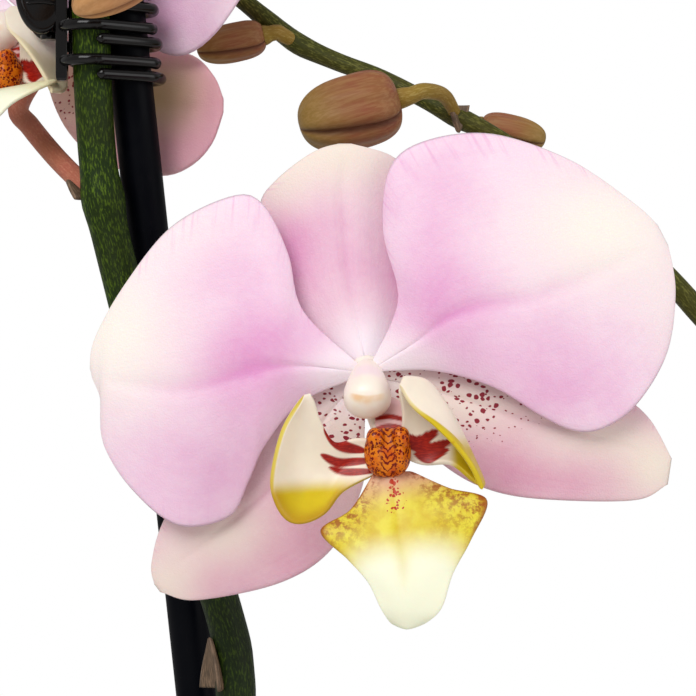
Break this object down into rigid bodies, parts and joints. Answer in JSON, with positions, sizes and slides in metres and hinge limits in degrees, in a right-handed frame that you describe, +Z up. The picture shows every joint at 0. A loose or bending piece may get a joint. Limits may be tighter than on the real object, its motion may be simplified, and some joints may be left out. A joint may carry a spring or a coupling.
{
  "type": "potted moth orchid",
  "caption": "Potted moth orchid: two flower spikes with large pale pink blooms and buds, a stake and claw clip, strap leaves and bark in a plain pot.",
  "frame": {"origin": "middle of the pot's foot, on the surface that it stands on", "axes": "+Z up, -Y towards the viewer that the front bloom faces, +X to that viewer's right"},
  "size_m": [0.3223, 0.1376, 0.5198],
  "materials": {
    "pot": "white gloss glaze",
    "bark": "rough bark chips",
    "leaf": "waxy, thick",
    "root": "matte, silvery",
    "stem": "satin, fine pale streaks",
    "bud": "satin, fine streaks",
    "sepal": "soft satin, sparkling cells",
    "petal": "soft satin, sparkling cells",
    "lip": "waxy",
    "column": "waxy",
    "stake": "black satin",
    "clip": "black gloss"
  },
  "bodies": {
    "plant": {"pot": "pot", "bark": "bark", "crown": "leaf", "leaf_1": "leaf", "leaf_2": "leaf", "leaf_3": "leaf", "leaf_4": "leaf", "leaf_5": "leaf", "leaf_6": "leaf", "root_1": "root", "root_2": "root", "root_3": "root", "root_4": "root", "root_5": "root", "stake": "stake", "spike_a": "stem", "spike_b": "stem", "bloom_1_dorsal_sepal": "sepal", "bloom_1_left_sepal": "sepal", "bloom_1_right_sepal": "sepal", "bloom_1_left_petal": "petal", "bloom_1_right_petal": "petal", "bloom_1_lip": "lip", "bloom_1_column": "column", "bloom_2_dorsal_sepal": "sepal", "bloom_2_left_sepal": "sepal", "bloom_2_right_sepal": "sepal", "bloom_2_left_petal": "petal", "bloom_2_right_petal": "petal", "bloom_2_lip": "lip", "bloom_2_column": "column", "bloom_3_dorsal_sepal": "sepal", "bloom_3_left_sepal": "sepal", "bloom_3_right_sepal": "sepal", "bloom_3_left_petal": "petal", "bloom_3_right_petal": "petal", "bloom_3_lip": "lip", "bloom_3_column": "column", "bloom_4_dorsal_sepal": "sepal", "bloom_4_left_sepal": "sepal", "bloom_4_right_sepal": "sepal", "bloom_4_left_petal": "petal", "bloom_4_right_petal": "petal", "bloom_4_lip": "lip", "bloom_4_column": "column", "bud_a1": "bud", "bud_a2": "bud", "bud_a3": "bud", "bud_a4": "bud", "bud_a5": "bud", "bud_b1": "bud", "bud_b2": "bud", "bud_b3": "bud", "bud_b4": "bud", "clip_rear_jaw": "clip", "clip_pin": "clip"},
    "front_jaw": {"clip_front_jaw": "clip"}
  },
  "joints": [
    {"name": "clip_hinge", "type": "hinge", "parent": "plant", "child": "front_jaw", "pos_m": [-0.0388, -0.0004, 0.409], "axis": [0, 0, -1], "range_deg": [0, 18], "stiffness_Nm_per_rad": 0.01, "springref_deg": -5.73}
  ]
}
